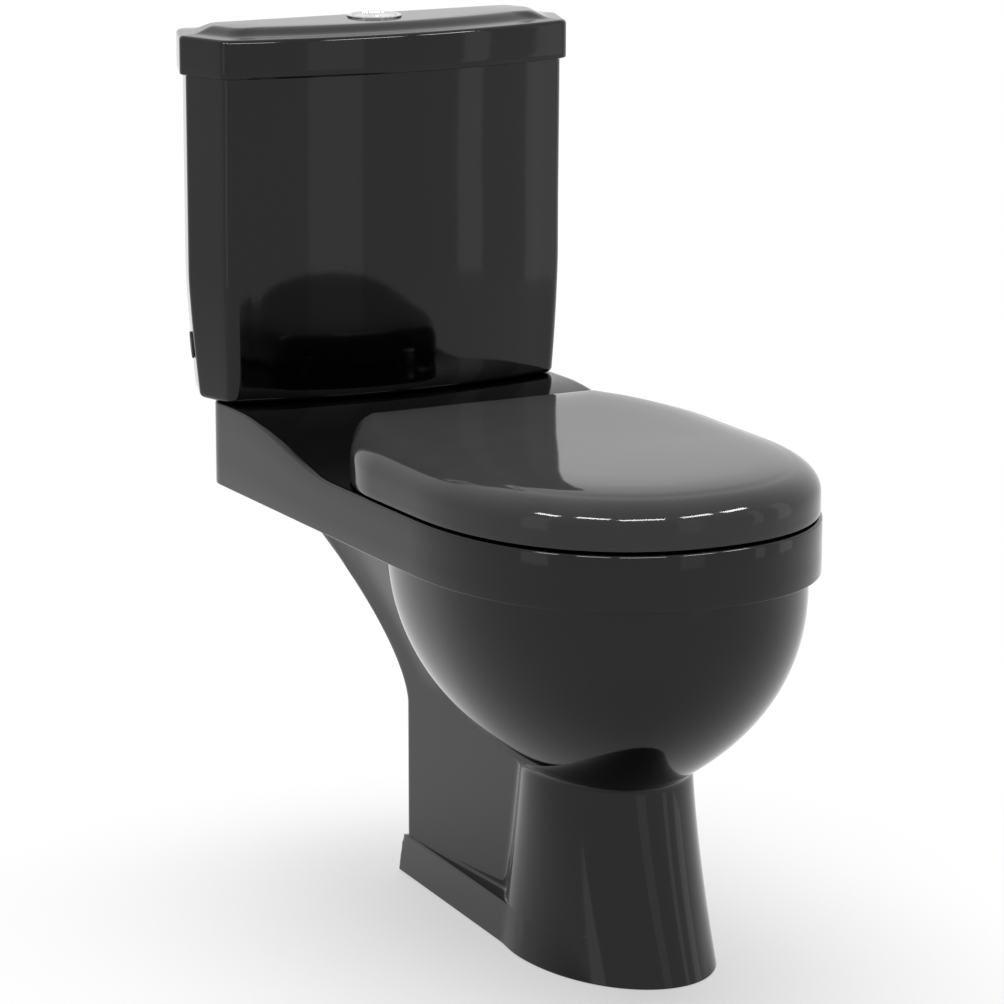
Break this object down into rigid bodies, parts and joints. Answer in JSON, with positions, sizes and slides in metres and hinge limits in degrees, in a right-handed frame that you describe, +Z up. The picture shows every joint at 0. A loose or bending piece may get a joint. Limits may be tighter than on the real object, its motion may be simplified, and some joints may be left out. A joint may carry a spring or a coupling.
{
  "type": "close coupled toilet",
  "caption": "Close coupled toilet: glazed pan with cistern shelf, lidded cistern, dual flush button, wrap-over seat and lid on hinges.",
  "frame": {"origin": "on the floor, under the middle of the whole object's bounding box", "axes": "+X across, to the right seen from the front; +Y from the front of the pan to the wall; +Z up"},
  "size_m": [0.391, 0.71, 0.7774],
  "materials": {
    "black_china": "glossy black glaze on vitreous china, opaque",
    "black_seat": "glossy black moulded seat",
    "chrome": "polished chrome plate",
    "steel": "turned stainless steel",
    "brass": "plain brass, threaded",
    "rubber": "matt black rubber",
    "seat_buffer": "soft dark rubber",
    "white_plastic": "satin white moulded plastic",
    "red_plastic": "satin red moulded plastic",
    "blue_plastic": "satin blue moulded plastic"
  },
  "bodies": {
    "toilet": {"pan": "black_china", "cistern": "black_china", "hinge_post_left": "chrome", "hinge_post_right": "chrome", "hinge_pin_left": "steel", "hinge_pin_right": "steel", "seat_bolts": "brass", "seat_cone_washers": "rubber", "seat_wing_nuts": "white_plastic", "flush_valve_body": "white_plastic", "flush_valve_backnut": "white_plastic", "coupling_gasket": "rubber", "coupling_bolts": "brass", "coupling_head_washers": "rubber", "coupling_washers": "rubber", "coupling_wing_nuts": "brass", "fill_valve_body": "white_plastic", "fill_valve_washer": "rubber", "fill_valve_backnut": "white_plastic", "inlet_plug": "rubber", "inlet_plug_nut": "white_plastic"},
    "cistern_lid": {"cistern_lid": "black_china", "button_bezel": "chrome", "button_nut": "white_plastic"},
    "half_button": {"half_flush_button": "chrome"},
    "full_button": {"full_flush_button": "chrome"},
    "seat_ring": {"seat_ring": "black_seat", "ring_buffers": "seat_buffer"},
    "seat_lid": {"seat_lid": "black_seat", "lid_buffers": "seat_buffer"},
    "flush_lift": {"flush_valve_lift": "red_plastic", "flush_valve_seal": "rubber"},
    "float": {"fill_valve_float": "blue_plastic"}
  },
  "joints": [
    {"name": "seat_ring_hinge", "type": "hinge", "parent": "toilet", "child": "seat_ring", "pos_m": [0, 0.07, 0.421], "axis": [-1, 0, 0], "range_deg": [0, 96]},
    {"name": "seat_lid_hinge", "type": "hinge", "parent": "seat_ring", "child": "seat_lid", "pos_m": [0, 0.07, 0.421], "axis": [1, 0, 0], "range_deg": [-102, 0]},
    {"name": "cistern_lid_lift", "type": "slide", "parent": "toilet", "child": "cistern_lid", "axis": [0, 0, 1], "range_m": [0, 0.15]},
    {"name": "half_button_press", "type": "slide", "parent": "cistern_lid", "child": "half_button", "axis": [0, 0, -1], "range_m": [0, 0.006], "stiffness_N_per_m": 400, "springref_m": -0.004},
    {"name": "full_button_press", "type": "slide", "parent": "cistern_lid", "child": "full_button", "axis": [0, 0, -1], "range_m": [0, 0.008], "stiffness_N_per_m": 400, "springref_m": -0.004},
    {"name": "flush_valve_rise", "type": "slide", "parent": "toilet", "child": "flush_lift", "axis": [0, 0, 1], "range_m": [0, 0.012]},
    {"name": "float_rise", "type": "slide", "parent": "toilet", "child": "float", "axis": [0, 0, 1], "range_m": [0, 0.045]}
  ],
  "couplings": [
    {"joint": "flush_valve_rise", "follows": "full_button_press", "ratio": 1.5}
  ]
}
